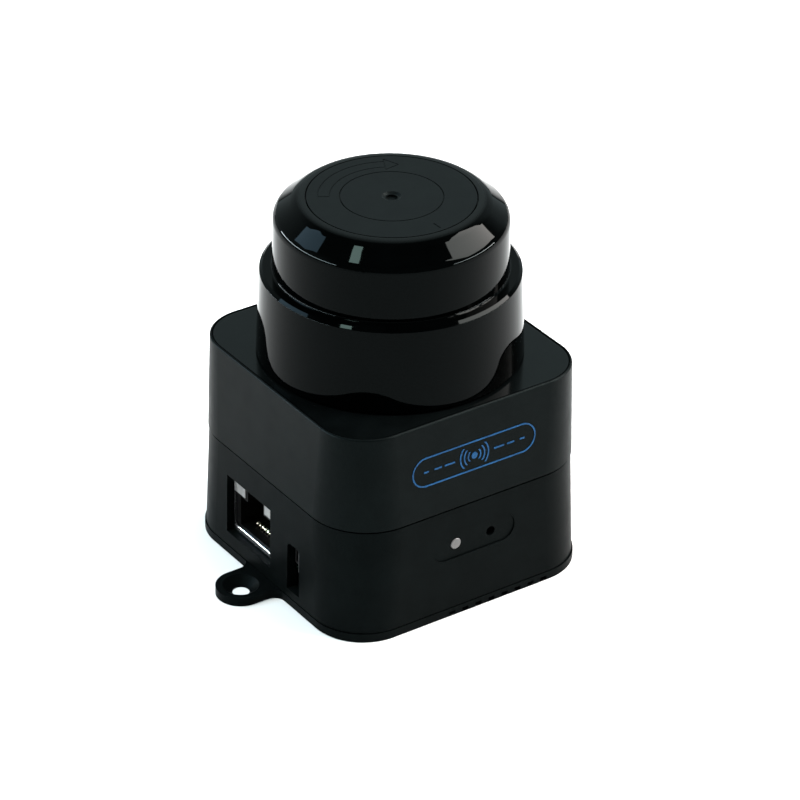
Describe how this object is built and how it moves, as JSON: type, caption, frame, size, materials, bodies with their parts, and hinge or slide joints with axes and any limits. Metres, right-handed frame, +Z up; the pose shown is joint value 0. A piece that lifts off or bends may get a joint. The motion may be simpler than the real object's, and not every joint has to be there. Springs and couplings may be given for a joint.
{
  "type": "lidar scanner module",
  "caption": "Compact robot lidar: square black electronics case with screw ears, network and power sockets, and a glossy round head that spins on top.",
  "frame": {"origin": "on the spin axis of the head, in the plane of the case's underside", "axes": "+Z up along the spin axis; the side with the status light and the badge faces -Y; the side with the network and power sockets faces -X; the screw ears lie along X"},
  "size_m": [0.0876, 0.065, 0.0854],
  "materials": {
    "case_black": "fine textured matte",
    "plate_black": "semi-gloss",
    "head_gloss": "polished, dark infrared-clear plastic",
    "cap_satin": "satin",
    "badge_blue": "printed",
    "light_pipe_white": "frosted clear",
    "button_black": "matte",
    "jack_metal": "tin plated",
    "jack_black": "matte",
    "jack_led_window": "frosted clear",
    "contact_gold": "gold plated",
    "header_black": "moulded nylon",
    "board_green": "solder mask",
    "part_black": "matte",
    "led_lens": "clear",
    "antenna_film": "flexible circuit",
    "screw_steel": "zinc plated",
    "bearing_steel": "polished",
    "cast_aluminium": "satin",
    "core_steel": "laminated",
    "magnet_grey": "sintered",
    "coil_copper": "enamelled wire",
    "code_black": "matte",
    "diode_gold": "gold plated can",
    "lens_glass": "coated",
    "balance_brass": "turned"
  },
  "bodies": {
    "case": {"bottom_plate": "case_black", "lower_housing": "case_black", "upper_housing": "case_black", "top_plate": "plate_black", "case_screws": "screw_steel", "front_badge": "badge_blue", "rj45_shield": "jack_metal", "rj45_insert": "jack_black", "rj45_led_windows": "jack_led_window", "rj45_contacts": "contact_gold", "power_header": "header_black", "power_pins": "contact_gold", "main_board": "board_green", "board_spacers": "cast_aluminium", "board_screws": "screw_steel", "module_header": "part_black", "compute_module": "board_green", "module_chips": "part_black", "heat_spreader": "cast_aluminium", "riser_board": "board_green", "riser_sockets": "part_black", "wifi_antenna": "antenna_film", "front_board": "board_green", "status_led": "led_lens", "light_pipe": "light_pipe_white", "reset_switch": "part_black", "scanner_base": "cast_aluminium", "core_screws": "screw_steel", "stator_core": "core_steel", "stator_coils": "coil_copper", "lower_bearing_outer": "bearing_steel", "upper_bearing_outer": "bearing_steel", "coil_board": "board_green", "primary_coil": "coil_copper", "encoder_sensor": "part_black"},
    "head": {"shaft": "bearing_steel", "lower_bearing_inner": "bearing_steel", "upper_bearing_inner": "bearing_steel", "rotor_bell": "core_steel", "rotor_magnets": "magnet_grey", "turntable": "cast_aluminium", "secondary_coil": "coil_copper", "encoder_ring": "code_black", "rotor_board": "board_green", "optics_frame": "cast_aluminium", "laser_barrel": "cast_aluminium", "laser_lens": "lens_glass", "laser_diode": "diode_gold", "receiver_barrel": "cast_aluminium", "receiver_lens": "lens_glass", "detector": "part_black", "optics_board": "board_green", "balance_weight": "balance_brass", "head_cover": "head_gloss", "cover_screws": "screw_steel", "cap_disc": "cap_satin"},
    "bearing_balls": {"lower_bearing_balls": "bearing_steel", "upper_bearing_balls": "bearing_steel"},
    "reset_button": {"reset_plunger": "button_black"}
  },
  "joints": [
    {"name": "head_spin", "type": "hinge", "parent": "case", "child": "head", "pos_m": [0, 0, 0.0398], "axis": [0, 0, 1], "continuous": true},
    {"name": "ball_roll", "type": "hinge", "parent": "case", "child": "bearing_balls", "pos_m": [0, 0, 0.0398], "axis": [0, 0, 1], "continuous": true},
    {"name": "reset_press", "type": "slide", "parent": "case", "child": "reset_button", "axis": [0, 1, 0], "range_m": [0, 0.0003], "stiffness_N_per_m": 5300}
  ],
  "couplings": [
    {"joint": "ball_roll", "follows": "head_spin", "ratio": 0.393}
  ]
}
